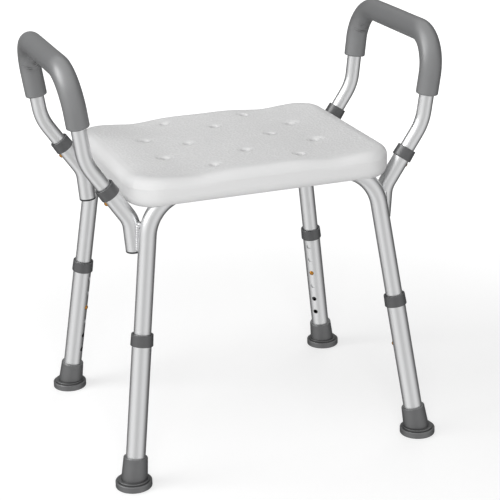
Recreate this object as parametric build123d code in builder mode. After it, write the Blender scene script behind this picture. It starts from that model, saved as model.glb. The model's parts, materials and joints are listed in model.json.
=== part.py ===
# Shower stool: a hollow moulded seat on two bent tube frames, four telescopic legs with
# rubber feet, and two padded arms that plug into sockets welded to the frames.
# Millimetres, +Z up. The origin is on the floor, in the middle of the four feet.
# +X runs along the seat's long side and -Y is the front.

import os
from math import acos, cos, pi, radians, sin, sqrt, tan

from build123d import *

# Seat
seat_height = 449.5
seat_length = 404.0
seat_depth = 332.0
seat_thickness = 43.5
seat_corner = 48.0
seat_top_round = 15.0
seat_bottom_round = 15.0
seat_skin = 2.8
seat_dip = 4.2
seat_dip_x = 108.0
seat_dip_half = 58.0
seat_cover = 14.3  # moulding left above the cross tubes
channel_gap = 1.2
vent_bore = 5.0

# Drain holes in the seat, in a pattern about its middle
drain_bore = 9.0
drain_mouth = 21.0
drain_inner_x = 67.0
drain_outer_x = 118.0
drain_margin = 12.1  # from the end rows to the cross tubes' channels
drain_outer_row = 50.5
drain_middle_row = 71.5
drain_web = 8.0  # the web that ties an end row's post to the channel's wall

# Stance: where the legs' lines meet the cross tubes, inside the seat's edges, and the lean of a leg
# per unit of height
leg_inset_x = 31.0
leg_inset_y = 19.9
leg_lean_x = 0.1335
leg_lean_y = 0.1043

# Tubes
upper_tube_od = 25.4
arm_tube_od = 22.2
tube_wall = 1.3
slide_gap = 0.3
fit_gap = 0.05
frame_bend = 65.0

# Telescopic legs, measured along the leg
lower_leg_length = 216.4
upper_leg_tail = 38.0  # upper tube below its snap button
hole_gap = 0.3  # round a button, in the outer tube
hole_pitch = 25.4
hole_count = 6
button_hole = 2  # holes above the one that the button is in
first_hole_drop = 12.1
hole_turn = 46.0  # the hole row's turn from the front-to-back line, in degrees

# Collars on the outer tubes' ends
collar_height = 17.5
collar_lip = 2.6
collar_wall = 2.3
collar_taper = 0.6
collar_edge = 0.9

# Snap buttons and their leaf springs
button_bore_gap = 0.25
button_stem = 7.4
button_rim_out = 0.9
button_rim_thick = 1.2
button_rise = 2.6
leaf_thick = 0.6
leaf_width = 6.4
leaf_land = 6.0
leaf_length = 30.0
leaf_bow = 2.4

# Rubber feet
foot_height = 44.6
foot_wall = 3.4  # round the tube, at the foot's upper edge
foot_flare = 2.1
foot_step_out = 3.4
foot_step_height = 2.6
foot_flange_out = 3.6
foot_flange_height = 10.0
foot_sole = 8.0
foot_edge = 1.6
tread_depth = 1.2
tread_width = 2.4
tread_pitch = 6.0
washer_thick = 1.6

# Arm sockets: heights are taken from the cross tube's axis
socket_bearing = 26.0  # degrees, from straight behind or before the leg towards its outside
socket_end_drop = 81.0
socket_bend_drop = 37.5
socket_bend = 40.0
socket_lean = 4.4  # degrees from upright, below the bend
socket_reach = 63.7  # along the slope, from the bend to the socket's upper end
plug_flange = 3.0
plug_depth = 14.0
weld_gap = 0.2
weld_radius = 3.3
weld_pitch = 3.3
weld_count = 11
weld_start = 4.0
weld_spread = 6.2

# Arms
arm_rake = 33.9  # degrees from upright, in the socket
arm_lean = 7.8  # degrees from upright, above the elbow
arm_insert = 49.0
arm_elbow_rise = 53.6
arm_elbow_bend = 75.0
arm_top_rise = 182.5
arm_top_bend = 55.0
arm_top_spread = 4.2
arm_button_drop = 5.6  # below the arm collar
grip_od = 33.2
grip_end_rise = 97.8
grip_shift = {"left": -8.0, "right": 1.5}  # how far each sleeve has crept to the front
grip_end_round = 2.0

# Seat fixings
screw_half_x = 70.0
screw_od = 6.0
screw_head_od = 10.4
screw_head_height = 3.4
screw_slot = 1.2
screw_short = 1.0  # the screw's end, inside its insert
access_bore = 13.0
insert_od = 9.2
insert_cover = 5.8  # moulding left above an insert

# Worked out from the sizes above
button_rim = button_stem + 2 * button_rim_out
hole_bore = button_stem + 2 * hole_gap
upper_tube_id = upper_tube_od - 2 * tube_wall
lower_tube_id = upper_tube_od + 2 * slide_gap
lower_tube_od = lower_tube_id + 2 * tube_wall
arm_tube_id = arm_tube_od - 2 * tube_wall
socket_id = arm_tube_od + 2 * slide_gap
socket_od = socket_id + 2 * tube_wall
seat_bottom = seat_height - seat_thickness
bar_z = seat_height - seat_cover - upper_tube_od / 2
side_height = seat_thickness - seat_dip
top_round = min(seat_top_round, 0.6 * side_height)
bottom_round = min(seat_bottom_round, 0.39 * side_height)
insert_length = seat_cover - fit_gap - insert_cover
foot_mouth_od = lower_tube_od + 2 * foot_wall
foot_cup_od = foot_mouth_od + 2 * foot_flare
foot_step_od = foot_cup_od + 2 * foot_step_out
foot_flange_od = foot_step_od + 2 * foot_flange_out
foot_x = seat_length / 2 - leg_inset_x + leg_lean_x * bar_z
foot_y = seat_depth / 2 - leg_inset_y + leg_lean_y * bar_z
leg_stretch = sqrt(1 + leg_lean_x**2 + leg_lean_y**2)
lower_leg_start = foot_sole + washer_thick
lower_leg_top = lower_leg_start + lower_leg_length
leg_collar_bottom = lower_leg_top + collar_lip - collar_height
first_hole = leg_collar_bottom - first_hole_drop
button_at = first_hole - button_hole * hole_pitch
upper_leg_end = button_at - upper_leg_tail

corners = {
    "front_left": (-1, -1),
    "front_right": (1, -1),
    "rear_left": (-1, 1),
    "rear_right": (1, 1),
}
ends = {"front": -1, "rear": 1}
sides = {"left": -1, "right": 1}


def leg_x(height):
    return foot_x - leg_lean_x * height


def leg_y(height):
    return foot_y - leg_lean_y * height


def leg_plane(side, end, along):
    # A plane square to the leg, with its X along the row of holes
    turn = radians(hole_turn)
    height = along / leg_stretch
    return Plane(
        origin=(side * leg_x(height), end * leg_y(height), height),
        x_dir=(-side * sin(turn), -end * cos(turn), 0),
        z_dir=(-side * leg_lean_x, -end * leg_lean_y, 1),
    )


# The arm's plane stands front to back, and its sockets touch the legs through the weld gap
socket_end_z = bar_z - socket_end_drop
socket_bend_z = bar_z - socket_bend_drop
socket_touch = (upper_tube_od + socket_od) / 2 + weld_gap
arm_y = leg_y(socket_end_z) - socket_touch * cos(radians(socket_bearing))
socket_end_x = leg_x(socket_end_z) + socket_touch * sin(radians(socket_bearing))
socket_bend_x = socket_end_x + (socket_bend_z - socket_end_z) * tan(radians(socket_lean))
arm_slope = (sin(radians(arm_rake)), cos(radians(arm_rake)))
arm_elbow_z = bar_z + arm_elbow_rise
arm_elbow_x = socket_bend_x + (arm_elbow_z - socket_bend_z) * tan(radians(arm_rake))
arm_top_z = bar_z + arm_top_rise
arm_top_x = arm_elbow_x + (arm_top_z - arm_elbow_z) * tan(radians(arm_lean))
arm_top_y = arm_y + arm_top_spread
arm_end_at = socket_reach + collar_lip - arm_insert
arm_button_at = socket_reach + collar_lip - collar_height - arm_button_drop


def socket_point(side, end, along):
    # A point on the sloping axis of a socket, measured from its bend
    return (
        side * (socket_bend_x + along * arm_slope[0]),
        end * arm_y,
        socket_bend_z + along * arm_slope[1],
    )


def socket_plane(side, end, along):
    # A plane square to the sloping axis, with its X towards the arm's snap button
    return Plane(
        origin=socket_point(side, end, along),
        x_dir=(side * arm_slope[1], 0, -arm_slope[0]),
        z_dir=(side * arm_slope[0], 0, arm_slope[1]),
    )


def frame_points(end, tail):
    # Corners of the inverted U, with its legs cut off at the height tail
    bar_y = end * leg_y(bar_z)
    return [
        (-leg_x(tail), end * leg_y(tail), tail),
        (-leg_x(bar_z), bar_y, bar_z),
        (leg_x(bar_z), bar_y, bar_z),
        (leg_x(tail), end * leg_y(tail), tail),
    ]


def socket_points(side, end):
    return [
        (side * socket_end_x, end * arm_y, socket_end_z),
        (side * socket_bend_x, end * arm_y, socket_bend_z),
        socket_point(side, end, socket_reach),
    ]


def arm_points(side):
    elbow = side * arm_elbow_x
    top = side * arm_top_x
    return [
        socket_point(side, -1, arm_end_at),
        (elbow, -arm_y, arm_elbow_z),
        (top, -arm_top_y, arm_top_z),
        (top, arm_top_y, arm_top_z),
        (elbow, arm_y, arm_elbow_z),
        socket_point(side, 1, arm_end_at),
    ]


def grip_points(side, shift):
    # The sleeve's line over the top of an arm, moved along it by shift
    rise = arm_top_z - arm_elbow_z
    line = []
    for end in (-1, 1):
        share = (grip_end_rise - arm_elbow_rise + end * shift) / rise
        line.append(
            (
                side * (arm_elbow_x + share * (arm_top_x - arm_elbow_x)),
                end * (arm_y + share * arm_top_spread),
                arm_elbow_z + share * rise,
            )
        )
    top = side * arm_top_x
    return [line[0], (top, -arm_top_y, arm_top_z), (top, arm_top_y, arm_top_z), line[1]]


def side_plane(plane):
    # The plane that holds the given plane's X and its axis
    return Plane(origin=plane.origin, x_dir=plane.x_dir, z_dir=plane.x_dir.cross(plane.z_dir))


def drill_plane(plane):
    # The plane for a hole along the given plane's X
    return Plane(origin=plane.origin, x_dir=plane.z_dir, z_dir=plane.x_dir)


def rim_edges(shape, diameter):
    # Circular edges of one diameter
    circles = shape.edges().filter_by(GeomType.CIRCLE)
    return circles.filter_by(lambda edge: abs(edge.radius - diameter / 2) < 0.01)


def bent_tube(points, bends, outer, inner=0.0):
    # A round tube, or a rod, along straight runs joined by tangent arcs
    with BuildPart() as tube:
        with BuildLine() as path:
            FilletPolyline(*points, radius=bends)
        with BuildSketch(Plane(origin=path.line @ 0, z_dir=path.line % 0)):
            Circle(outer / 2)
            if inner > 0:
                Circle(inner / 2, mode=Mode.SUBTRACT)
        sweep(path=path.line)
    return tube.part


def straight_tube(plane, length, outer, inner):
    with BuildPart() as tube:
        with BuildSketch(plane):
            Circle(outer / 2)
            Circle(inner / 2, mode=Mode.SUBTRACT)
        extrude(amount=length)
    return tube.part


def seat_wave(x):
    # Height of the seat's top at x, below its highest line
    off = min(abs(abs(x) - seat_dip_x) / seat_dip_half, 1)
    return -seat_dip * (1 + cos(pi * off)) / 2


def seat_body(length, depth, corner, bottom, top, upper_edge, lower_edge):
    # A rounded block whose top follows the wave, used for the moulding and for its hollow
    knots = [seat_dip_x + share * seat_dip_half for share in (-1, -0.5, 0, 0.5, 1)]
    knots.append(knots[-1] + length)
    profile = [-x for x in reversed(knots)] + [0] + knots
    with BuildPart() as body:
        with BuildSketch(Plane.XY.offset(bottom)):
            RectangleRounded(length, depth, corner)
        extrude(amount=top - bottom + 1)
        with BuildSketch(Plane.XZ.offset(-depth)):
            with BuildLine():
                crest = Spline(*[(x, top + seat_wave(x)) for x in profile])
                above = top + seat_thickness
                Polyline(crest @ 1, (profile[-1], above), (profile[0], above), crest @ 0)
            make_face()
        extrude(amount=2 * depth, mode=Mode.SUBTRACT)
        fillet(body.faces().sort_by(Axis.Z)[-1].edges(), upper_edge)
        fillet(body.faces().sort_by(Axis.Z)[0].edges(), lower_edge)
    return body.part


slot_y = (leg_y(bar_z) + leg_y(seat_bottom)) / 2
slot_width = upper_tube_od + 2 * channel_gap
drain_end_row = slot_y - slot_width / 2 - drain_margin
drain_places = [(0, -drain_middle_row), (0, drain_middle_row)]
for x in (-drain_inner_x, drain_inner_x):
    drain_places += [(x, -drain_end_row), (x, 0), (x, drain_end_row)]
for x in (-drain_outer_x, drain_outer_x):
    drain_places += [(x, -drain_outer_row), (x, drain_outer_row)]
screw_places = [(x, end * leg_y(bar_z)) for x in (-screw_half_x, screw_half_x) for end in ends.values()]
slot_length = 2 * (leg_x(bar_z) + channel_gap)
bar_crown = bar_z + upper_tube_od / 2 + fit_gap

os.makedirs("parts", exist_ok=True)

# The seat: a hollow moulding with a cradle for each cross tube and a post round each drain
hollow_depth = 2 * (slot_y - slot_width / 2 - seat_skin)
hollow = seat_body(
    seat_length - 2 * seat_skin,
    hollow_depth,
    seat_corner - seat_skin,
    seat_bottom + seat_skin,
    seat_height - seat_skin,
    top_round - seat_skin,
    bottom_round - seat_skin,
)
with BuildPart() as core:
    add(hollow)
    for place in drain_places:
        with BuildSketch(Plane(origin=(*place, seat_bottom))):
            Circle(drain_bore / 2 + seat_skin)
        with BuildSketch(Plane(origin=(*place, seat_height))):
            Circle(drain_mouth / 2 + seat_skin)
        loft(mode=Mode.SUBTRACT)
    for x, y in drain_places:
        if abs(y) == drain_end_row:
            with BuildSketch(Plane(origin=(x, y, seat_bottom))):
                Rectangle(drain_web, 2 * drain_margin)
            extrude(amount=seat_thickness, mode=Mode.SUBTRACT)
moulding = seat_body(seat_length, seat_depth, seat_corner, seat_bottom, seat_height, top_round, bottom_round)
cradle_od = upper_tube_od + 2 * fit_gap
cradles = [bent_tube(frame_points(end, bar_z / 2), frame_bend, cradle_od) for end in ends.values()]
with BuildPart() as seat:
    add(moulding)
    add(core.part, mode=Mode.SUBTRACT)
    for place in drain_places:
        bore_r = drain_bore / 2
        mouth_r = drain_mouth / 2
        lip = mouth_r - bore_r
        level = seat_height + seat_wave(place[0])
        with BuildSketch(Plane(origin=(*place, level), x_dir=(1, 0, 0), z_dir=(0, -1, 0))):
            with BuildLine():
                Polyline((0, lip), (0, -seat_thickness), (bore_r, -seat_thickness), (bore_r, -lip))
                RadiusArc((bore_r, -lip), (mouth_r, 0), lip)
                Polyline((mouth_r, 0), (mouth_r + 4 * lip, lip), (0, lip))
            make_face()
        revolve(axis=Axis((*place, level), (0, 0, 1)), mode=Mode.SUBTRACT)
    for end in ends.values():
        with BuildSketch(Plane(origin=(0, end * slot_y, seat_bottom - 1))):
            SlotOverall(slot_length, slot_width)
        extrude(amount=bar_z - seat_bottom + 1, mode=Mode.SUBTRACT)
    for cradle in cradles:
        add(cradle, mode=Mode.SUBTRACT)
    with Locations(*[(*place, bar_z) for place in screw_places]):
        Cylinder(
            insert_od / 2 + fit_gap,
            bar_crown + insert_length - bar_z,
            align=(Align.CENTER, Align.CENTER, Align.MIN),
            mode=Mode.SUBTRACT,
        )
    with Locations((0, 0, seat_bottom)):
        Cylinder(vent_bore / 2, 3 * seat_skin, mode=Mode.SUBTRACT)
seat.part.label = "seat"
export_step(seat.part, "parts/seat.step")

# The four screws sit inside the cross tubes and pull the seat down on them
screw_seat = bar_z + sqrt((upper_tube_id / 2) ** 2 - (screw_head_od / 2) ** 2) - fit_gap
screw_tip = bar_crown + insert_length - screw_short
with BuildPart() as seat_screws:
    with Locations(*[(*place, screw_seat - screw_head_height) for place in screw_places]):
        Cylinder(screw_head_od / 2, screw_head_height, align=(Align.CENTER, Align.CENTER, Align.MIN))
    fillet(seat_screws.faces().filter_by(Axis.Z).group_by(Axis.Z)[0].edges(), 1.4)
    with Locations(*[(*place, screw_seat) for place in screw_places]):
        Cylinder(screw_od / 2, screw_tip - screw_seat, align=(Align.CENTER, Align.CENTER, Align.MIN))
    with Locations(*[(*place, screw_seat - screw_head_height) for place in screw_places]):
        Box(screw_head_od / 2, screw_slot, screw_head_height, mode=Mode.SUBTRACT)
        Box(screw_slot, screw_head_od / 2, screw_head_height, mode=Mode.SUBTRACT)
seat_screws.part.label = "seat_screws"
export_step(seat_screws.part, "parts/seat_screws.step")

with BuildPart() as seat_inserts:
    with Locations(*[(*place, bar_crown) for place in screw_places]):
        Cylinder(insert_od / 2, insert_length, align=(Align.CENTER, Align.CENTER, Align.MIN))
        Cylinder(
            screw_od / 2 + fit_gap,
            insert_length,
            align=(Align.CENTER, Align.CENTER, Align.MIN),
            mode=Mode.SUBTRACT,
        )
seat_inserts.part.label = "seat_inserts"
export_step(seat_inserts.part, "parts/seat_inserts.step")

# One bent tube for the two front legs and one for the two rear legs
for name, end in ends.items():
    tail = upper_leg_end / leg_stretch
    frame_tube = bent_tube(frame_points(end, tail), frame_bend, upper_tube_od, upper_tube_id)
    with BuildPart() as frame:
        add(frame_tube)
        for x in (-screw_half_x, screw_half_x):
            spot = (x, end * leg_y(bar_z), bar_z)
            with BuildSketch(Plane(origin=spot)):
                Circle(screw_od / 2 + slide_gap)
            extrude(amount=upper_tube_od, mode=Mode.SUBTRACT)
            with BuildSketch(Plane(origin=spot)):
                Circle(access_bore / 2)
            extrude(amount=-upper_tube_od, mode=Mode.SUBTRACT)
        for side in sides.values():
            with BuildSketch(drill_plane(leg_plane(side, end, button_at))):
                Circle(button_stem / 2 + button_bore_gap)
            extrude(amount=upper_tube_od, mode=Mode.SUBTRACT)
    frame.part.label = f"{name}_frame"
    export_step(frame.part, f"parts/{name}_frame.step")


def collar(plane, tube):
    # A plastic ring that covers a tube's upper end; the plane is at its lower edge
    foot_r = tube / 2 + collar_wall
    head_r = foot_r - collar_taper
    mouth_r = tube / 2 - tube_wall + fit_gap
    lip_z = collar_height - collar_lip
    with BuildPart() as ring:
        with BuildSketch(side_plane(plane)):
            with BuildLine():
                Polyline(
                    (tube / 2 + fit_gap, 0),
                    (foot_r, 0),
                    (head_r, collar_height),
                    (mouth_r + collar_lip / 2, collar_height),
                    (mouth_r, collar_height - collar_lip / 2),
                    (mouth_r, lip_z + fit_gap),
                    (tube / 2 + fit_gap, lip_z + fit_gap),
                    close=True,
                )
            make_face()
        revolve(axis=Axis(plane.origin, plane.z_dir))
        rims = ring.edges().filter_by(GeomType.CIRCLE).sort_by(SortBy.RADIUS)
        fillet([edge for edge in rims if edge.radius > head_r - 0.01], collar_edge)
    return ring.part


def snap_button(plane, inner_id, outer_od):
    # The button's stem lies along the plane's X; its rim rests under the inner tube's wall
    rim_x = sqrt((inner_id / 2) ** 2 - (button_rim / 2) ** 2) - 2 * fit_gap
    stem_r = button_stem / 2
    dome_x = outer_od / 2
    dome_r = (stem_r**2 + button_rise**2) / (2 * button_rise)
    half_angle = acos((dome_r - button_rise) / dome_r) / 2
    middle = (dome_x + button_rise - dome_r + dome_r * cos(half_angle), dome_r * sin(half_angle))
    with BuildPart() as button:
        with BuildSketch(side_plane(plane)):
            with BuildLine():
                Polyline(
                    (dome_x + button_rise, 0),
                    (rim_x - button_rim_thick, 0),
                    (rim_x - button_rim_thick, button_rim / 2),
                    (rim_x, button_rim / 2),
                    (rim_x, stem_r),
                    (dome_x, stem_r),
                )
                ThreePointArc((dome_x, stem_r), middle, (dome_x + button_rise, 0))
            make_face()
        revolve(axis=Axis(plane.origin, plane.x_dir))
    return button.part


def leaf_spring(plane, inner_id):
    # A bent strip that lies in the tube and pushes the button out
    inner_r = inner_id / 2
    rim_x = sqrt(inner_r**2 - (button_rim / 2) ** 2) - 2 * fit_gap
    front_x = rim_x - button_rim_thick - fit_gap - leaf_thick / 2
    rear_x = sqrt(inner_r**2 - (leaf_width / 2) ** 2) - 2 * fit_gap - leaf_thick / 2
    with BuildPart() as leaf:
        with BuildSketch(side_plane(plane)):
            with BuildLine() as strip:
                FilletPolyline(
                    (front_x, -leaf_land),
                    (front_x, leaf_land),
                    (leaf_bow, leaf_length),
                    (-leaf_bow, leaf_length),
                    (-rear_x, -leaf_land),
                    radius=leaf_bow * 0.7,
                )
            trace(strip.line, leaf_thick)
        extrude(amount=leaf_width / 2, both=True)
    return leaf.part


# Telescopic legs, with their collars, feet, buttons and springs
for name, (side, end) in corners.items():
    start = leg_plane(side, end, lower_leg_start)
    leg_tube = straight_tube(start, lower_leg_length, lower_tube_od, lower_tube_id)
    with BuildPart() as lower_leg:
        add(leg_tube)
        for step in range(hole_count):
            with BuildSketch(drill_plane(leg_plane(side, end, first_hole - step * hole_pitch))):
                Circle(hole_bore / 2)
            extrude(amount=lower_tube_od, mode=Mode.SUBTRACT)
    lower_leg.part.label = f"{name}_lower_leg"
    export_step(lower_leg.part, f"parts/{name}_lower_leg.step")

    leg_collar = collar(leg_plane(side, end, leg_collar_bottom), lower_tube_od)
    leg_collar.label = f"{name}_leg_collar"
    export_step(leg_collar, f"parts/{name}_leg_collar.step")

    leg_button = snap_button(leg_plane(side, end, button_at), upper_tube_id, lower_tube_od)
    leg_button.label = f"{name}_leg_button"
    export_step(leg_button, f"parts/{name}_leg_button.step")

    leg_spring = leaf_spring(leg_plane(side, end, button_at), upper_tube_id)
    leg_spring.label = f"{name}_leg_spring"
    export_step(leg_spring, f"parts/{name}_leg_spring.step")

    foot_spot = (side * foot_x, end * foot_y, 0)
    bottom = leg_plane(side, end, 0)
    with BuildPart() as foot:
        with BuildSketch(bottom.offset(foot_flange_height / 2)):
            Circle(foot_cup_od / 2)
        with BuildSketch(bottom.offset(foot_height)):
            Circle(foot_mouth_od / 2)
        loft()
        fillet(foot.faces().sort_by(Axis(bottom.origin, bottom.z_dir))[-1].edges(), foot_edge)
        with BuildSketch(Plane(origin=foot_spot)):
            Circle(foot_step_od / 2)
        extrude(amount=foot_flange_height + foot_step_height)
        fillet(rim_edges(foot, foot_step_od).sort_by(Axis.Z)[-1], foot_edge / 2)
        with BuildSketch(Plane(origin=foot_spot)):
            Circle(foot_flange_od / 2)
        extrude(amount=foot_flange_height)
        fillet(rim_edges(foot, foot_flange_od), foot_edge)
        with BuildSketch(bottom.offset(foot_sole)):
            Circle(lower_tube_od / 2 + fit_gap)
        extrude(amount=foot_height, mode=Mode.SUBTRACT)
        for step in (1, 2, 3):
            with BuildSketch(Plane(origin=foot_spot)):
                Circle(tread_pitch * step + tread_width / 2)
                Circle(tread_pitch * step - tread_width / 2, mode=Mode.SUBTRACT)
            extrude(amount=tread_depth, mode=Mode.SUBTRACT)
    foot.part.label = f"{name}_foot"
    export_step(foot.part, f"parts/{name}_foot.step")

    washer_od = lower_tube_od - 2 * fit_gap
    foot_washer = straight_tube(bottom.offset(foot_sole), washer_thick, washer_od, lower_tube_id / 2)
    foot_washer.label = f"{name}_foot_washer"
    export_step(foot_washer, f"parts/{name}_foot_washer.step")

# Arm sockets, welded to the frames
for name, (side, end) in corners.items():
    socket_tube = bent_tube(socket_points(side, end), socket_bend, socket_od, socket_id)
    with BuildPart() as arm_socket:
        add(socket_tube)
        with BuildSketch(drill_plane(socket_plane(side, end, arm_button_at))):
            Circle(hole_bore / 2)
        extrude(amount=socket_od, mode=Mode.SUBTRACT)
    arm_socket.part.label = f"{name}_arm_socket"
    export_step(arm_socket.part, f"parts/{name}_arm_socket.step")

    arm_collar = collar(socket_plane(side, end, socket_reach + collar_lip - collar_height), socket_od)
    arm_collar.label = f"{name}_arm_collar"
    export_step(arm_collar, f"parts/{name}_arm_collar.step")

    lean = radians(socket_lean)
    low_end = Plane(
        origin=(side * socket_end_x, end * arm_y, socket_end_z),
        x_dir=(0, 1, 0),
        z_dir=(side * sin(lean), 0, cos(lean)),
    )
    with BuildPart() as socket_plug:
        with BuildSketch(low_end):
            Circle(socket_od / 2)
        extrude(amount=-plug_flange)
        fillet(socket_plug.faces().sort_by(Axis(low_end.origin, low_end.z_dir))[0].edges(), plug_flange / 3)
        with BuildSketch(low_end):
            Circle(socket_id / 2 - fit_gap)
            Circle(socket_id / 2 - tube_wall, mode=Mode.SUBTRACT)
        extrude(amount=plug_depth)
    socket_plug.part.label = f"{name}_socket_plug"
    export_step(socket_plug.part, f"parts/{name}_socket_plug.step")

    beads = []
    for step in range(weld_count):
        height = socket_end_z + weld_start + step * weld_pitch
        apart = Vector(
            side * (socket_end_x + (height - socket_end_z) * tan(lean) - leg_x(height)),
            end * (arm_y - leg_y(height)),
            0,
        )
        middle = Vector(side * leg_x(height), end * leg_y(height), height) + apart * 0.5
        along = Vector(0, 0, 1).cross(apart.normalized())
        beads.append((middle + along * weld_spread, middle - along * weld_spread))
    leg_rod = bent_tube(frame_points(end, socket_end_z / 2), frame_bend, upper_tube_od + 2 * fit_gap)
    socket_rod = bent_tube(socket_points(side, end), socket_bend, socket_od + 2 * fit_gap)
    with BuildPart() as weld:
        with Locations(*[spot for pair in beads for spot in pair]):
            Sphere(weld_radius)
        with Locations((beads[-1][0] + beads[-1][1]) * 0.5):
            Sphere(weld_spread)
        add(leg_rod, mode=Mode.SUBTRACT)
        add(socket_rod, mode=Mode.SUBTRACT)
    weld.part.label = f"{name}_weld"
    export_step(weld.part, f"parts/{name}_weld.step")

# Arms, with their grips, buttons and springs
for name, side in sides.items():
    bends = [arm_elbow_bend, arm_top_bend, arm_top_bend, arm_elbow_bend]
    arm_bar = bent_tube(arm_points(side), bends, arm_tube_od, arm_tube_id)
    with BuildPart() as arm_tube:
        add(arm_bar)
        for end in ends.values():
            with BuildSketch(drill_plane(socket_plane(side, end, arm_button_at))):
                Circle(button_stem / 2 + button_bore_gap)
            extrude(amount=arm_tube_od, mode=Mode.SUBTRACT)
    arm_tube.part.label = f"{name}_arm_tube"
    export_step(arm_tube.part, f"parts/{name}_arm_tube.step")

    sleeve_line = grip_points(side, grip_shift[name])
    sleeve = bent_tube(sleeve_line, arm_top_bend, grip_od, arm_tube_od + 2 * fit_gap)
    with BuildPart() as arm_grip:
        add(sleeve)
        fillet(rim_edges(arm_grip, grip_od).sort_by(Axis.Z)[:2], grip_end_round)
    arm_grip.part.label = f"{name}_arm_grip"
    export_step(arm_grip.part, f"parts/{name}_arm_grip.step")

    for place, end in ends.items():
        arm_button = snap_button(socket_plane(side, end, arm_button_at), arm_tube_id, socket_od)
        arm_button.label = f"{place}_{name}_arm_button"
        export_step(arm_button, f"parts/{place}_{name}_arm_button.step")

        arm_spring = leaf_spring(socket_plane(side, end, arm_button_at), arm_tube_id)
        arm_spring.label = f"{place}_{name}_arm_spring"
        export_step(arm_spring, f"parts/{place}_{name}_arm_spring.step")
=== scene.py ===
import json
import math

import bmesh
import bpy
from mathutils import Matrix, Vector

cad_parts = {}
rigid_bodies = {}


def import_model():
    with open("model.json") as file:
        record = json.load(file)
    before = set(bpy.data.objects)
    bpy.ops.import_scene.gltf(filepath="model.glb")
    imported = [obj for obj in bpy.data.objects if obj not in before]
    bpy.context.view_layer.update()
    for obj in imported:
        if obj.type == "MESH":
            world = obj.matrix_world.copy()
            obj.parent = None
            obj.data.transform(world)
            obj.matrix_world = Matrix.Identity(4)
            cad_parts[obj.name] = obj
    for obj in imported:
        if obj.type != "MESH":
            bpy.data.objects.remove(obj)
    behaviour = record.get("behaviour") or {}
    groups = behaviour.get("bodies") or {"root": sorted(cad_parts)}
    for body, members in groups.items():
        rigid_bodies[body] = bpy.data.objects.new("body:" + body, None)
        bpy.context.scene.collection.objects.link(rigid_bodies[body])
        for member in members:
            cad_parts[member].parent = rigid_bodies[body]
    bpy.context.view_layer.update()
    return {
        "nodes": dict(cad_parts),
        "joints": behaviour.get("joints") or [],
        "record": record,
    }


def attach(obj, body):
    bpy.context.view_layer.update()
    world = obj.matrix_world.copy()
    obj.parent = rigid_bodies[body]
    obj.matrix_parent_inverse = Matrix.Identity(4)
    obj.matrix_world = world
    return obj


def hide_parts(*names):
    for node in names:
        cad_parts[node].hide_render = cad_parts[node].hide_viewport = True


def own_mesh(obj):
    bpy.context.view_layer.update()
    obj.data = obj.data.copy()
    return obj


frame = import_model()
nodes = frame["nodes"]
scene = bpy.context.scene
scene.view_settings.view_transform = "Standard"
print("frame loaded:", len(nodes), "nodes")

# the direction of the photograph: camera angles in degrees, lens in pixels, distances in metres
viewSettings = {"turn": -19.69, "tilt": 19.74, "roll": -1.38, "aimRight": 0.02676, "aimUp": 0.26790,
                "distance": 2.48595, "lensPixels": 1604.37, "imagePixels": 500.0, "sensor": 36.0}


def newNode(tree, kind, place, **sockets):
    node = tree.nodes.new(kind)
    node.location = place
    for name, value in sockets.items():
        node.inputs[name.replace("_", " ")].default_value = value
    return node


def link(tree, fromSocket, toSocket):
    tree.links.new(fromSocket, toSocket)


def mathNode(tree, operation, place, *values):
    node = tree.nodes.new("ShaderNodeMath")
    node.operation = operation
    node.location = place
    for index, value in enumerate(values):
        if isinstance(value, (int, float)):
            node.inputs[index].default_value = value
        else:
            link(tree, value, node.inputs[index])
    return node.outputs[0]


def vectorNode(tree, operation, place, *values):
    node = tree.nodes.new("ShaderNodeVectorMath")
    node.operation = operation
    node.location = place
    for index, value in enumerate(values):
        if isinstance(value, (tuple, Vector)):
            node.inputs[index].default_value = value
        else:
            link(tree, value, node.inputs[index])
    valued = operation in ("DOT_PRODUCT", "DISTANCE", "LENGTH")
    return node.outputs["Value" if valued else "Vector"]


# a smooth step from 0 at low to 1 at high; low may be the larger
def stepNode(tree, place, value, low, high):
    node = newNode(tree, "ShaderNodeMapRange", place, From_Min=low, From_Max=high)
    node.interpolation_type = "SMOOTHSTEP"
    link(tree, value, node.inputs["Value"])
    return node.outputs[0]


def newGroup(name, inputs, outputs):
    group = bpy.data.node_groups.new(name, "ShaderNodeTree")
    for direction, labels in (("INPUT", inputs), ("OUTPUT", outputs)):
        for label in labels:
            kind = "NodeSocketVector" if label == "Vector" else "NodeSocketFloat"
            group.interface.new_socket(name=label, in_out=direction, socket_type=kind)
    start = group.nodes.new("NodeGroupInput")
    end = group.nodes.new("NodeGroupOutput")
    start.location = (-900, 0)
    end.location = (900, 0)
    return group, start, end


grainNoise = {"Detail": 3.0, "Roughness": 0.6}
patchNoise = {"Detail": 4.0, "Roughness": 0.55, "Distortion": 0.4}


# pebbled grain: a height, and a shade about one that follows it
def makeGrain():
    group, start, end = newGroup("mouldGrain", ("Vector", "Scale", "Softness", "Tint"), ("Height", "Shade"))
    noise = newNode(group, "ShaderNodeTexNoise", (-600, 150), **grainNoise)
    cells = newNode(group, "ShaderNodeTexVoronoi", (-600, -200))
    for node in (noise, cells):
        link(group, start.outputs["Vector"], node.inputs["Vector"])
        link(group, start.outputs["Scale"], node.inputs["Scale"])
    blend = group.nodes.new("ShaderNodeMix")
    blend.location = (-300, 0)
    link(group, start.outputs["Softness"], blend.inputs[0])
    link(group, cells.outputs["Distance"], blend.inputs[2])
    link(group, noise.outputs["Fac"], blend.inputs[3])
    link(group, blend.outputs[0], end.inputs["Height"])
    centred = mathNode(group, "SUBTRACT", (0, -150), blend.outputs[0], 0.5)
    scaled = mathNode(group, "MULTIPLY", (200, -150), centred, start.outputs["Tint"])
    link(group, mathNode(group, "ADD", (400, -150), scaled, 1.0), end.inputs["Shade"])
    return group


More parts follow.
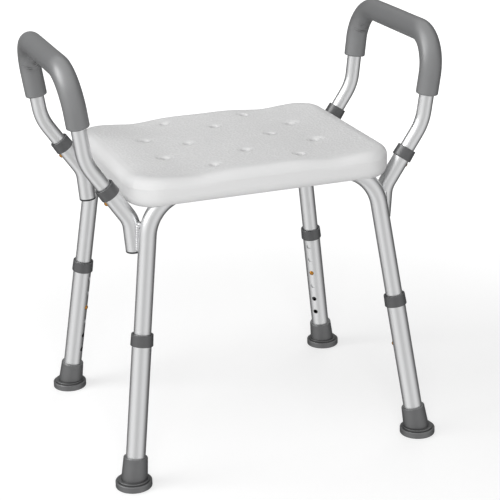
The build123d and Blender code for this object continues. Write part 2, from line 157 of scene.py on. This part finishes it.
# slow patches of handling and drying marks: a factor about one, for colour and roughness
def makePatches():
    group, start, end = newGroup("handlingPatches", ("Vector", "Size", "Amount"), ("Factor",))
    noise = newNode(group, "ShaderNodeTexNoise", (-600, 0), **patchNoise)
    link(group, start.outputs["Vector"], noise.inputs["Vector"])
    link(group, start.outputs["Size"], noise.inputs["Scale"])
    centred = mathNode(group, "SUBTRACT", (-300, 0), noise.outputs["Fac"], 0.5)
    scaled = mathNode(group, "MULTIPLY", (-100, 0), centred, start.outputs["Amount"])
    link(group, mathNode(group, "ADD", (100, 0), scaled, 1.0), end.inputs["Factor"])
    return group


grainGroup = makeGrain()
patchGroup = makePatches()


def useGroup(tree, group, place, coords, **values):
    node = tree.nodes.new("ShaderNodeGroup")
    node.node_tree = group
    node.location = place
    link(tree, coords, node.inputs["Vector"])
    for name, value in values.items():
        node.inputs[name].default_value = value
    return node.outputs


# the grain's height, its shade and the handling marks, which every material starts from
def surfaceMarks(tree, coords, look):
    grain = useGroup(tree, grainGroup, (-1100, 200), coords, Scale=look["grainScale"],
                     Softness=look["grainSoftness"], Tint=look["grainTint"])
    patches = useGroup(tree, patchGroup, (-1100, -200), coords, Size=look["patchSize"],
                       Amount=look["patchAmount"])
    return grain["Height"], grain["Shade"], patches["Factor"]


def startMaterial(name):
    material = bpy.data.materials.new(name)
    material.use_nodes = True
    tree = material.node_tree
    shader = tree.nodes["Principled BSDF"]
    coords = newNode(tree, "ShaderNodeTexCoord", (-1500, 0))
    return material, tree, shader, coords.outputs["Object"]


# base colour times a factor
def tinted(tree, place, colour, factor):
    node = tree.nodes.new("ShaderNodeVectorMath")
    node.operation = "SCALE"
    node.location = place
    node.inputs[0].default_value = colour
    link(tree, factor, node.inputs["Scale"])
    return node.outputs[0]


def bumped(tree, place, height, strength, distance, normal=None):
    node = newNode(tree, "ShaderNodeBump", place, Strength=strength, Distance=distance)
    link(tree, height, node.inputs["Height"])
    if normal is not None:
        link(tree, normal, node.inputs["Normal"])
    return node.outputs["Normal"]


# painted shade in a piece's own inner corners and creases: 1 in the open, less in a crevice
def paintedCreviceShade(tree, look):
    node = newNode(tree, "ShaderNodeAmbientOcclusion", (-1000, 450), Distance=look["creviceReach"])
    node.samples = look["creviceSamples"]
    node.only_local = True
    return mathNode(tree, "POWER", (-800, 400), node.outputs["AO"], look["creviceDepth"])


# a grained material of one colour, with handling marks in its colour and its gloss, and painted shade in
# its crevices where the look gives a crevice reach
def grainedMaterial(name, look):
    material, tree, shader, coords = startMaterial(name)
    height, grainShade, patches = surfaceMarks(tree, coords, look)
    shade = mathNode(tree, "MULTIPLY", (-800, 100), grainShade, patches)
    if "creviceReach" in look:
        # painted shade: the colour darkens in the piece's own crevices
        shade = mathNode(tree, "MULTIPLY", (-650, 100), shade, paintedCreviceShade(tree, look))
    link(tree, tinted(tree, (-500, 200), look["colour"], shade), shader.inputs["Base Color"])
    rough = mathNode(tree, "MULTIPLY", (-500, -100), patches, look["roughness"])
    link(tree, rough, shader.inputs["Roughness"])
    normal = bumped(tree, (-300, -350), height, look["bump"], look["bumpDepth"])
    link(tree, normal, shader.inputs["Normal"])
    shader.inputs["Specular IOR Level"].default_value = look["specular"]
    return material


# seat: white moulded plastic, stippled on top inside a smooth rim, and smooth round each drain
seatLook = {"colour": (0.765, 0.765, 0.765), "roughness": 0.48, "specular": 0.35,
            "rimX": 0.185, "rimY": 0.149, "rimCorner": 0.034, "rimSoft": 0.003, "topZ": 0.440,
            "drains": ((0.0, 0.0715), (0.067, 0.12096), (0.067, 0.0), (0.118, 0.0505)),
            "drainEdge": 0.0105, "drainSoft": 0.0035,
            "grainScale": 260.0, "grainSoftness": 0.45, "grainTint": 0.20, "stippleBump": 0.60,
            "stippleDepth": 0.0015, "stippleLightLift": 0.025, "stippleRoughness": 0.14,
            "patchSize": 9.0, "patchAmount": 0.05, "partingZ": 0.4355, "partingHalf": 0.0014,
            "partingBump": 0.35, "partingDepth": 0.0004}


def makeSeatMaterial():
    look = seatLook
    material, tree, shader, coords = startMaterial("seatWhitePlastic")
    folded = vectorNode(tree, "ABSOLUTE", (-1300, 500), coords)
    # distance outside a rounded rectangle, so that the stipple stops short of the rim
    inner = (look["rimX"] - look["rimCorner"], look["rimY"] - look["rimCorner"], 1.0)
    over = vectorNode(tree, "SUBTRACT", (-1150, 500), folded, inner)
    past = vectorNode(tree, "MAXIMUM", (-1000, 500), over, (0, 0, 0))
    reach = vectorNode(tree, "LENGTH", (-850, 500), past)
    mask = stepNode(tree, (-700, 500), reach, look["rimCorner"] + look["rimSoft"],
                    look["rimCorner"] - look["rimSoft"])
    # the drains lie alike about both middle lines, so one quarter of them serves for all
    flat = vectorNode(tree, "MULTIPLY", (-1150, 700), folded, (1, 1, 0))
    for step, (x, y) in enumerate(look["drains"]):
        away = vectorNode(tree, "DISTANCE", (-850, 700 + 160 * step), flat, (x, y, 0))
        clear = stepNode(tree, (-700, 700 + 160 * step), away, look["drainEdge"],
                         look["drainEdge"] + look["drainSoft"])
        mask = mathNode(tree, "MULTIPLY", (-500 + 100 * step, 600), mask, clear)
    parts = newNode(tree, "ShaderNodeSeparateXYZ", (-1300, 200))
    link(tree, coords, parts.inputs[0])
    onTop = mathNode(tree, "GREATER_THAN", (-350, 200), parts.outputs["Z"], look["topZ"])
    mask = mathNode(tree, "MULTIPLY", (-50, 400), mask, onTop)
    grainHeight, grainShade, patches = surfaceMarks(tree, coords, look)
    # painted light: the stippled top is lifted a little lighter, for the lower light that falls on it
    pebble = mathNode(tree, "ADD", (-700, -50), grainShade, look["stippleLightLift"] - 1.0)
    shade = mathNode(tree, "MULTIPLY_ADD", (-400, -50), pebble, mask, patches)
    link(tree, tinted(tree, (-100, 0), look["colour"], shade), shader.inputs["Base Color"])
    plain = mathNode(tree, "MULTIPLY", (-400, -250), patches, look["roughness"])
    rough = mathNode(tree, "MULTIPLY_ADD", (-200, -200), mask, look["stippleRoughness"], plain)
    link(tree, rough, shader.inputs["Roughness"])
    height = mathNode(tree, "MULTIPLY", (-300, -400), grainHeight, mask)
    stipple = bumped(tree, (-100, -400), height, look["stippleBump"], look["stippleDepth"])
    # the mould's parting line, a fine ridge round the side
    above = mathNode(tree, "SUBTRACT", (-850, -650), parts.outputs["Z"], look["partingZ"])
    off = mathNode(tree, "ABSOLUTE", (-700, -650), above)
    ridge = stepNode(tree, (-500, -650), off, look["partingHalf"], 0.0)
    line = bumped(tree, (100, -500), ridge, look["partingBump"], look["partingDepth"], stipple)
    link(tree, line, shader.inputs["Normal"])
    shader.inputs["Specular IOR Level"].default_value = look["specular"]
    return material


# bare metals: a fine satin grain, with faint patches in the gloss
def metalMaterial(name, look):
    material, tree, shader, coords = startMaterial(name)
    height, grainShade, patches = surfaceMarks(tree, coords, look)
    link(tree, tinted(tree, (-500, 150), look["colour"], grainShade), shader.inputs["Base Color"])
    marks = mathNode(tree, "MULTIPLY", (-700, -100), grainShade, patches)
    rough = mathNode(tree, "MULTIPLY", (-500, -100), marks, look["roughness"])
    link(tree, rough, shader.inputs["Roughness"])
    normal = bumped(tree, (-300, -350), height, look["bump"], look["bumpDepth"])
    link(tree, normal, shader.inputs["Normal"])
    shader.inputs["Metallic"].default_value = 1.0
    return material


tubeLook = {"colour": (0.84, 0.845, 0.85), "roughness": 0.34, "grainScale": 2200.0, "grainSoftness": 0.8,
            "grainTint": 0.05, "patchSize": 16.0, "patchAmount": 0.10, "bump": 0.05, "bumpDepth": 0.0001}
weldLook = {"colour": (0.76, 0.76, 0.77), "roughness": 0.36, "grainScale": 600.0, "grainSoftness": 0.6,
            "grainTint": 0.12, "patchSize": 60.0, "patchAmount": 0.25, "bump": 0.35, "bumpDepth": 0.0003}
buttonLook = {"colour": (0.56, 0.26, 0.055), "roughness": 0.20, "grainScale": 1800.0, "grainSoftness": 0.8,
              "grainTint": 0.08, "patchSize": 90.0, "patchAmount": 0.25, "bump": 0.06, "bumpDepth": 0.0001}
springLook = {"colour": (0.56, 0.56, 0.57), "roughness": 0.30, "grainScale": 1200.0, "grainSoftness": 0.8,
              "grainTint": 0.06, "patchSize": 40.0, "patchAmount": 0.15, "bump": 0.06, "bumpDepth": 0.0001}
collarLook = {"colour": (0.074, 0.075, 0.077), "roughness": 0.32, "grainScale": 1500.0,
              "grainSoftness": 0.6, "grainTint": 0.08, "patchSize": 30.0, "patchAmount": 0.12, "bump": 0.2,
              "bumpDepth": 0.0003, "specular": 0.9}
# the foot's crevice values paint shade into its inner corners
footLook = {"colour": (0.108, 0.109, 0.111), "roughness": 0.32, "grainScale": 1300.0, "grainSoftness": 0.7,
            "grainTint": 0.12, "patchSize": 24.0, "patchAmount": 0.20, "bump": 0.3, "bumpDepth": 0.0003,
            "specular": 1.0, "creviceReach": 0.02, "creviceDepth": 2.0, "creviceSamples": 8}
plugLook = {"colour": (0.02, 0.02, 0.021), "roughness": 0.5, "grainScale": 1500.0, "grainSoftness": 0.6,
            "grainTint": 0.1, "patchSize": 30.0, "patchAmount": 0.15, "bump": 0.2, "bumpDepth": 0.0002,
            "specular": 0.5}
# the foam's crevice values paint shade into its creases and inner bends
foamLook = {"colour": (0.186, 0.188, 0.191), "roughness": 0.36, "grainScale": 950.0, "grainSoftness": 0.55,
            "grainTint": 0.10, "patchSize": 22.0, "patchAmount": 0.08, "bump": 0.18, "bumpDepth": 0.0003,
            "specular": 1.0, "creviceReach": 0.006, "creviceDepth": 2.5, "creviceSamples": 8}

finishes = {
    "seat_plastic": makeSeatMaterial(),
    "tube_aluminium": metalMaterial("tubeSatinAluminium", tubeLook),
    "weld_aluminium": metalMaterial("weldRippledAluminium", weldLook),
    "collar_plastic": grainedMaterial("collarGreyPlastic", collarLook),
    "plug_plastic": grainedMaterial("plugBlackPlastic", plugLook),
    "foot_rubber": grainedMaterial("footGreyRubber", footLook),
    "grip_foam": grainedMaterial("gripGreyFoam", foamLook),
    "button_brass": metalMaterial("buttonBrass", buttonLook),
    "spring_steel": metalMaterial("springSteel", springLook),
}
for piece in frame["record"]["subparts"]:
    slots = nodes[piece["node"]].data.materials
    slots.clear()
    slots.append(finishes[piece["material_slot"]])
print("materials on CAD nodes:", len(finishes))

# foam grips: sleeves over the arms' top bars, in metres; shift is how far a sleeve has crept along its bar
gripSettings = {"cornerX": 0.275257, "cornerY": 0.135739, "cornerZ": 0.605, "endZ": 0.5203,
                "lean": 0.136983, "splay": 0.032583,
                "left": {"side": -1, "shift": -0.0080, "Seed": 3.0},
                "right": {"side": 1, "shift": 0.0015, "Seed": 11.0},
                "sizes": {"Bend": 0.055, "Outer": 0.0166, "Inner": 0.01115, "End Round": 0.0030,
                          "End Waver": 0.0007, "Swell": 0.0006, "Swell Scale": 26.0, "Bend Bulge": 0.0006,
                          "Crease Depth": 0.0050, "Crease Pitch": 0.0044, "Crease Drop": 0.058},
                "skinRings": 520, "boreRings": 24, "sides": 72, "bendSteps": 48, "mergeWithin": 1e-6,
                "swellDetail": 1.0, "creaseFades": 0.022, "creaseFull": 0.004, "creaseSharpness": 0.9,
                "driftScale": 70.0, "driftDetail": 2.0, "driftRadians": 16.0,
                "strengthScale": 110.0, "strengthDetail": 0.0, "strengthMiddle": 0.22,
                "waverScale": 70.0, "waverDetail": 1.0, "waverReach": 0.012, "waverGain": 2.0}


def gripPath(side, shift):
    grip = gripSettings
    corner, low = {}, {}
    for end in (-1, 1):
        corner[end] = Vector((side * grip["cornerX"], end * grip["cornerY"], grip["cornerZ"]))
        drop = grip["cornerZ"] - grip["endZ"] - end * shift
        low[end] = corner[end] - Vector((side * grip["lean"], end * grip["splay"], 1)) * drop
    return [low[-1], corner[-1], corner[1], low[1]]


# the sleeve's tree: rings along a filleted line, out over the skin and back through the bore
def makeSleeveTree():
    grip = gripSettings
    tree = bpy.data.node_groups.new("foamSleeve", "GeometryNodeTree")
    tree.interface.new_socket(name="Geometry", in_out="INPUT", socket_type="NodeSocketGeometry")
    tree.interface.new_socket(name="Across", in_out="INPUT", socket_type="NodeSocketVector")
    for label in (*grip["sizes"], "Seed"):
        tree.interface.new_socket(name=label, in_out="INPUT", socket_type="NodeSocketFloat")
    tree.interface.new_socket(name="Geometry", in_out="OUTPUT", socket_type="NodeSocketGeometry")
    given = newNode(tree, "NodeGroupInput", (-1800, 0)).outputs
    end = newNode(tree, "NodeGroupOutput", (1800, 0))

    # sums stand in columns under the rest of the tree
    def spare():
        column, row = divmod(len(tree.nodes), 12)
        return 190 * column - 1800, -500 - 180 * row

    def calc(operation, *values):
        return mathNode(tree, operation, spare(), *values)

    line = newNode(tree, "GeometryNodeMeshToCurve", (-1600, 200))
    link(tree, given["Geometry"], line.inputs[0])
    fillet = newNode(tree, "GeometryNodeFilletCurve", (-1400, 200))
    fillet.mode = "POLY"
    fillet.inputs["Count"].default_value = grip["bendSteps"]
    link(tree, line.outputs[0], fillet.inputs["Curve"])
    link(tree, given["Bend"], fillet.inputs["Radius"])
    length = newNode(tree, "GeometryNodeCurveLength", (-1200, 300))
    link(tree, fillet.outputs[0], length.inputs[0])
    total = length.outputs[0]

    rings = grip["skinRings"] + grip["boreRings"] + 1  # the last ring closes on the first
    seam = grip["sides"] + 1  # so does the last point of a ring
    grid = newNode(tree, "GeometryNodeMeshGrid", (-1200, -200), Vertices_X=rings, Vertices_Y=seam)
    index = newNode(tree, "GeometryNodeInputIndex", (-1600, -300)).outputs[0]
    ring = calc("FLOOR", calc("DIVIDE", calc("ADD", index, 0.5), seam))
    ring = calc("MULTIPLY", ring, calc("LESS_THAN", ring, rings - 1.5))
    turn = calc("MULTIPLY", calc("MODULO", index, seam), 2 * math.pi / grip["sides"])
    inBore = calc("GREATER_THAN", ring, grip["skinRings"] - 0.5)
    # the rings crowd towards both ends of the skin, where it rounds over
    skinShare = calc("DIVIDE", ring, grip["skinRings"] - 1)
    eased = stepNode(tree, spare(), skinShare, 0.0, 1.0)
    back = calc("DIVIDE", calc("SUBTRACT", ring, grip["skinRings"]), grip["boreRings"] - 1)
    boreShare = calc("SUBTRACT", 1.0, back)
    onOuter = calc("SUBTRACT", 1.0, inBore)
    share = calc("ADD", calc("MULTIPLY", eased, onOuter), calc("MULTIPLY", boreShare, inBore))
    along = calc("MULTIPLY", share, total)
    toEnd = calc("MINIMUM", along, calc("SUBTRACT", total, along))

    sample = newNode(tree, "GeometryNodeSampleCurve", (-600, 200))
    sample.mode = "LENGTH"
    link(tree, fillet.outputs[0], sample.inputs["Curves"])
    link(tree, along, sample.inputs["Length"])
    spot, heading = sample.outputs["Position"], sample.outputs["Tangent"]
    inward = vectorNode(tree, "CROSS_PRODUCT", (-400, 0), given["Across"], heading)
    sine, cosine = calc("SINE", turn), calc("COSINE", turn)

    def scaled(vector, factor):
        node = newNode(tree, "ShaderNodeVectorMath", spare())
        node.operation = "SCALE"
        link(tree, vector, node.inputs[0])
        link(tree, factor, node.inputs["Scale"])
        return node.outputs[0]

    outward = vectorNode(tree, "ADD", spare(), scaled(given["Across"], cosine), scaled(inward, sine))
    onSkin = vectorNode(tree, "ADD", spare(), spot, scaled(outward, given["Outer"]))

    def noiseAt(vector, scale, detail):
        node = newNode(tree, "ShaderNodeTexNoise", spare(), Detail=detail)
        node.noise_dimensions = "4D"
        link(tree, vector, node.inputs["Vector"])
        link(tree, given["Seed"], node.inputs["W"])
        if isinstance(scale, float):
            node.inputs["Scale"].default_value = scale
        else:
            link(tree, scale, node.inputs["Scale"])
        return calc("SUBTRACT", node.outputs[0], 0.5)

    # rounded ends, then slow swells in the skin
    past = calc("MAXIMUM", calc("SUBTRACT", given["End Round"], toEnd), 0.0)
    leg = calc("SQRT", calc("SUBTRACT", calc("POWER", given["End Round"], 2.0), calc("POWER", past, 2.0)))
    radius = calc("ADD", calc("SUBTRACT", given["Outer"], given["End Round"]), leg)
    slow = noiseAt(onSkin, given["Swell Scale"], grip["swellDetail"])
    radius = calc("ADD", radius, calc("MULTIPLY", slow, given["Swell"]))
    # creases across the inner side of each bend, fading away round the tube and along it
    hollow = calc("POWER", calc("MAXIMUM", sine, 0.0), 2.0)
    nearBend = calc("ABSOLUTE", calc("SUBTRACT", toEnd, given["Crease Drop"]))
    inBend = stepNode(tree, spare(), nearBend, grip["creaseFades"], grip["creaseFull"])
    zone = calc("MULTIPLY", inBend, hollow)
    radius = calc("ADD", radius, calc("MULTIPLY", zone, given["Bend Bulge"]))
    wander = noiseAt(onSkin, grip["driftScale"], grip["driftDetail"])
    drift = calc("MULTIPLY", wander, grip["driftRadians"])
    phase = calc("ADD", calc("MULTIPLY", calc("DIVIDE", along, given["Crease Pitch"]), 2 * math.pi), drift)
    arch = calc("ABSOLUTE", calc("SINE", calc("MULTIPLY", phase, 0.5)))
    wave = calc("POWER", arch, grip["creaseSharpness"])
    folds = calc("MULTIPLY", calc("SUBTRACT", wave, 1.0), zone)
    uneven = noiseAt(onSkin, grip["strengthScale"], grip["strengthDetail"])
    strength = calc("MAXIMUM", calc("ADD", uneven, grip["strengthMiddle"]), 0.0)
    folds = calc("MULTIPLY", folds, strength)
    radius = calc("ADD", radius, calc("MULTIPLY", folds, given["Crease Depth"]))
    radius = calc("ADD", calc("MULTIPLY", radius, onOuter), calc("MULTIPLY", given["Inner"], inBore))
    # the knife-cut ends waver a little
    atEnd = stepNode(tree, spare(), toEnd, grip["waverReach"], 0.0)
    tail = calc("SIGN", calc("SUBTRACT", along, calc("MULTIPLY", total, 0.5)))
    ragged = noiseAt(onSkin, grip["waverScale"], grip["waverDetail"])
    waver = calc("MULTIPLY", calc("MULTIPLY", ragged, given["End Waver"]), calc("MULTIPLY", atEnd, tail))
    waver = calc("MULTIPLY", waver, grip["waverGain"])
    moved = vectorNode(tree, "ADD", spare(), spot, scaled(outward, radius))
    moved = vectorNode(tree, "ADD", spare(), moved, scaled(heading, waver))

    place = newNode(tree, "GeometryNodeSetPosition", (900, 0))
    link(tree, grid.outputs[0], place.inputs["Geometry"])
    link(tree, moved, place.inputs["Position"])
    merge = newNode(tree, "GeometryNodeMergeByDistance", (1100, 0), Distance=grip["mergeWithin"])
    link(tree, place.outputs[0], merge.inputs["Geometry"])
    smooth = newNode(tree, "GeometryNodeSetShadeSmooth", (1250, 0))
    link(tree, merge.outputs[0], smooth.inputs[0])
    realize = newNode(tree, "GeometryNodeRealizeInstances", (1400, 0))
    link(tree, smooth.outputs[0], realize.inputs[0])
    finish = newNode(tree, "GeometryNodeSetMaterial", (1600, 0), Material=finishes["grip_foam"])
    link(tree, realize.outputs[0], finish.inputs["Geometry"])
    link(tree, finish.outputs[0], end.inputs[0])
    return tree


def makeSleeve(name, tree, settings):
    points = gripPath(settings["side"], settings["shift"])
    data = bpy.data.meshes.new(name + "Line")
    data.from_pydata(points, [(0, 1), (1, 2), (2, 3)], [])
    host = bpy.data.objects.new(name + "Line", data)
    scene.collection.objects.link(host)
    modifier = host.modifiers.new("foamSleeve", "NODES")
    modifier.node_group = tree
    across = (points[1] - points[0]).cross(points[2] - points[1]).normalized()
    wanted = dict(gripSettings["sizes"], Seed=settings["Seed"], Across=tuple(across))
    for socket in tree.interface.items_tree:
        if socket.in_out == "INPUT" and socket.name in wanted:
            modifier[socket.identifier] = wanted[socket.name]
    graph = bpy.context.evaluated_depsgraph_get()
    made = bpy.data.meshes.new_from_object(host.evaluated_get(graph), depsgraph=graph)
    bpy.data.objects.remove(host)
    tidy = bmesh.new()
    tidy.from_mesh(made)
    bmesh.ops.recalc_face_normals(tidy, faces=tidy.faces)
    tidy.to_mesh(made)
    tidy.free()
    sleeve = bpy.data.objects.new(name, made)
    scene.collection.objects.link(sleeve)
    return sleeve


sleeveTree = makeSleeveTree()
for name in ("left", "right"):
    sleeve = makeSleeve(name + "FoamSleeve", sleeveTree, gripSettings[name])
    print(sleeve.name, len(sleeve.data.polygons), "faces")
    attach(sleeve, name + "_arm")
    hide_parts(name + "_arm_grip")
print("foam sleeves made")

# leaf springs: merged copies of the press solids, fixed to each press's parent body in place of the solids
springSettings = {"mergeWithin": 1e-6, "slot": "spring_steel"}


def makeSpring(press):
    solid = press["deforming_nodes"][0]["node"]
    tidy = bmesh.new()
    tidy.from_mesh(nodes[solid].data)
    bmesh.ops.remove_doubles(tidy, verts=tidy.verts, dist=springSettings["mergeWithin"])
    data = bpy.data.meshes.new(solid + "Leaf")
    tidy.to_mesh(data)
    tidy.free()
    data.materials.append(finishes[springSettings["slot"]])
    spring = bpy.data.objects.new(solid + "Leaf", data)
    scene.collection.objects.link(spring)
    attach(spring, press["parent"])
    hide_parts(solid)
    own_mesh(spring)


presses = [joint for joint in frame["joints"] if joint["name"].endswith("_button_press")]
for press in presses:
    makeSpring(press)
print("leaf springs made:", len(presses))

# floor, light and camera; bands are the brightness that gloss reflects, round from the camera's side:
# degrees to the right and level, with a dark flag behind the object on each side
stageSettings = {"floorHalf": 40.0, "floorRoughness": 0.9, "floorColour": 0.50, "floorShown": 0.48,
                 "floorGlow": 0.590, "glowFrom": 0.45, "glowTo": 1.7, "worldLevel": 0.28,
                 "bands": ((-180, 0.30), (-160, 0.14), (-132, 0.10), (-108, 0.40), (-80, 0.74), (-50, 0.88),
                           (-25, 0.74), (0, 0.56), (22, 0.66), (48, 0.80), (72, 0.62), (98, 0.28),
                           (128, 0.07), (158, 0.10), (180, 0.30)),
                 "overhead": 1.2, "overheadFrom": 0.38, "overheadTo": 0.82,
                 "glint": {"turn": -75.0, "tilt": 42.0, "from": 0.86, "to": 0.97, "level": 2.0},
                 "lampAim": (0.0, 0.0, 0.3),
                 "lamps": {
                     "keySoftbox": {"turn": -72.0, "tilt": 37.0, "away": 2.4, "size": 1.4, "power": 14.0,
                                    "inGloss": False},
                     "gripSoftbox": {"turn": -80.0, "tilt": 38.0, "away": 1.4, "size": 0.6, "power": 3.7,
                                     "inGloss": True},
                     "frontSoftbox": {"turn": 2.0, "tilt": 11.0, "away": 3.8, "size": 1.7, "power": 80.0,
                                      "inGloss": False},
                     "topSoftbox": {"turn": -30.0, "tilt": 72.0, "away": 3.2, "size": 1.6, "power": 17.0,
                                    "inGloss": False},
                     "rearSoftbox": {"turn": 160.0, "tilt": 32.0, "away": 3.4, "size": 2.2, "power": 20.0,
                                     "inGloss": False}}}


# unit vectors of a view, from its turn and tilt in degrees: to the right, up and towards the viewer
def viewAxes(turn, tilt):
    around, above = math.radians(turn), math.radians(tilt)
    right = Vector((math.cos(around), math.sin(around), 0))
    flat = math.cos(above)
    back = Vector((math.sin(around) * flat, -math.cos(around) * flat, math.sin(above)))
    return right, back.cross(right), back


# whether a ray comes from the camera, straight or through glass, and whether it comes from gloss
def rayKinds(tree):
    path = newNode(tree, "ShaderNodeLightPath", (-900, 300)).outputs
    direct = mathNode(tree, "MAXIMUM", (-700, 300), path["Is Camera Ray"], path["Is Transmission Ray"])
    return direct, path["Is Glossy Ray"]


def makeFloor():
    stage = stageSettings
    half = stage["floorHalf"]
    data = bpy.data.meshes.new("paleFloor")
    corners = [(-half, -half, 0), (half, -half, 0), (half, half, 0), (-half, half, 0)]
    data.from_pydata(corners, [], [(0, 1, 2, 3)])
    floor = bpy.data.objects.new("paleFloor", data)
    scene.collection.objects.link(floor)
    material = bpy.data.materials.new("floorPale")
    material.use_nodes = True
    tree = material.node_tree
    shader = tree.nodes["Principled BSDF"]
    shader.inputs["Roughness"].default_value = stage["floorRoughness"]
    shader.inputs["Specular IOR Level"].default_value = 0.0
    shader.inputs["Emission Color"].default_value = (1.0, 1.0, 1.0, 1.0)
    seen = rayKinds(tree)[0]
    # the floor glows to white where the lamps no longer reach it, and keeps soft shadows near the object
    coords = newNode(tree, "ShaderNodeTexCoord", (-1100, -100)).outputs["Object"]
    away = vectorNode(tree, "LENGTH", (-900, -100), coords)
    far = stepNode(tree, (-700, -100), away, stage["glowFrom"], stage["glowTo"])
    glow = mathNode(tree, "MULTIPLY_ADD", (-500, -100), far, 1.0 - stage["floorGlow"], stage["floorGlow"])
    link(tree, mathNode(tree, "MULTIPLY", (-300, 100), glow, seen), shader.inputs["Emission Strength"])
    drop = stage["floorShown"] - stage["floorColour"]
    shade = mathNode(tree, "MULTIPLY_ADD", (-300, 400), seen, drop, stage["floorColour"])
    link(tree, shade, shader.inputs["Base Color"])
    data.materials.append(material)
    floor.visible_glossy = False  # gloss sees the world's bands below the horizon too


def makeWorld():
    stage = stageSettings
    world = bpy.data.worlds.new("studio")
    scene.world = world
    world.use_nodes = True
    tree = world.node_tree
    background = tree.nodes["Background"]
    background.inputs["Color"].default_value = (1.0, 1.0, 1.0, 1.0)
    heading = newNode(tree, "ShaderNodeTexCoord", (-1500, -200)).outputs["Generated"]
    right, _, front = viewAxes(viewSettings["turn"], 0.0)
    toRight = vectorNode(tree, "DOT_PRODUCT", (-1300, -100), heading, right)
    toFront = vectorNode(tree, "DOT_PRODUCT", (-1300, -300), heading, front)
    bearing = mathNode(tree, "ARCTAN2", (-1100, -200), toRight, toFront)
    share = mathNode(tree, "MULTIPLY_ADD", (-900, -200), bearing, 0.5 / math.pi, 0.5)
    curve = newNode(tree, "ShaderNodeFloatCurve", (-700, -200))
    points = curve.mapping.curves[0].points
    while len(points) > 2:
        points.remove(points[1])
    for spot, (degrees, level) in zip((0, 1), (stage["bands"][0], stage["bands"][-1])):
        points[spot].location = (degrees / 360 + 0.5, level)
    for degrees, level in stage["bands"][1:-1]:
        points.new(degrees / 360 + 0.5, level)
    curve.mapping.update()
    link(tree, share, curve.inputs["Value"])
    parts = newNode(tree, "ShaderNodeSeparateXYZ", (-900, -500))
    link(tree, heading, parts.inputs[0])
    above = stepNode(tree, (-700, -500), parts.outputs["Z"], stage["overheadFrom"], stage["overheadTo"])
    mixed = newNode(tree, "ShaderNodeMix", (-500, -300))
    link(tree, above, mixed.inputs[0])
    link(tree, curve.outputs[0], mixed.inputs[2])
    mixed.inputs[3].default_value = stage["overhead"]
    # one soft box of light that shows only in gloss, high on the left
    glint = stage["glint"]
    aim = viewAxes(viewSettings["turn"] + glint["turn"], glint["tilt"])[2]
    near = vectorNode(tree, "DOT_PRODUCT", (-700, -700), heading, aim)
    spot = stepNode(tree, (-500, -700), near, glint["from"], glint["to"])
    shine = mathNode(tree, "MULTIPLY_ADD", (-300, -500), spot, glint["level"], mixed.outputs[0])
    direct, glossy = rayKinds(tree)
    level = newNode(tree, "ShaderNodeMix", (-300, 0))
    level.inputs[2].default_value = stage["worldLevel"]
    link(tree, glossy, level.inputs[0])
    link(tree, shine, level.inputs[3])
    shown = newNode(tree, "ShaderNodeMix", (-100, 100))
    link(tree, direct, shown.inputs[0])
    link(tree, level.outputs[0], shown.inputs[2])
    shown.inputs[3].default_value = 1.0
    link(tree, shown.outputs[0], background.inputs["Strength"])
    world.cycles.sampling_method = "NONE"


def makeLamp(name, settings):
    lamp = bpy.data.lights.new(name, "AREA")
    lamp.size = settings["size"]
    lamp.energy = settings["power"]
    away = viewAxes(viewSettings["turn"] + settings["turn"], settings["tilt"])[2]
    thing = bpy.data.objects.new(name, lamp)
    thing.location = Vector(stageSettings["lampAim"]) + away * settings["away"]
    thing.rotation_euler = (-away).to_track_quat("-Z", "Y").to_euler()
    thing.visible_glossy = settings["inGloss"]  # the others stay out of gloss, which sees the bands
    scene.collection.objects.link(thing)


def makeCamera():
    view = viewSettings
    right, up, back = viewAxes(view["turn"], view["tilt"])
    roll = math.radians(view["roll"])
    rolledRight = right * math.cos(roll) + up * math.sin(roll)
    rolledUp = up * math.cos(roll) - right * math.sin(roll)
    place = right * view["aimRight"] + Vector((0, 0, view["aimUp"])) + back * view["distance"]
    data = bpy.data.cameras.new("photoCamera")
    data.sensor_width = view["sensor"]
    data.sensor_fit = "HORIZONTAL"
    data.lens = view["sensor"] * view["lensPixels"] / view["imagePixels"]
    camera = bpy.data.objects.new("photoCamera", data)
    camera.matrix_world = Matrix((
        (rolledRight.x, rolledUp.x, back.x, place.x),
        (rolledRight.y, rolledUp.y, back.y, place.y),
        (rolledRight.z, rolledUp.z, back.z, place.z),
        (0, 0, 0, 1)))
    scene.collection.objects.link(camera)
    scene.camera = camera


makeFloor()
makeWorld()
for name, settings in stageSettings["lamps"].items():
    makeLamp(name, settings)
makeCamera()
print("stage set")
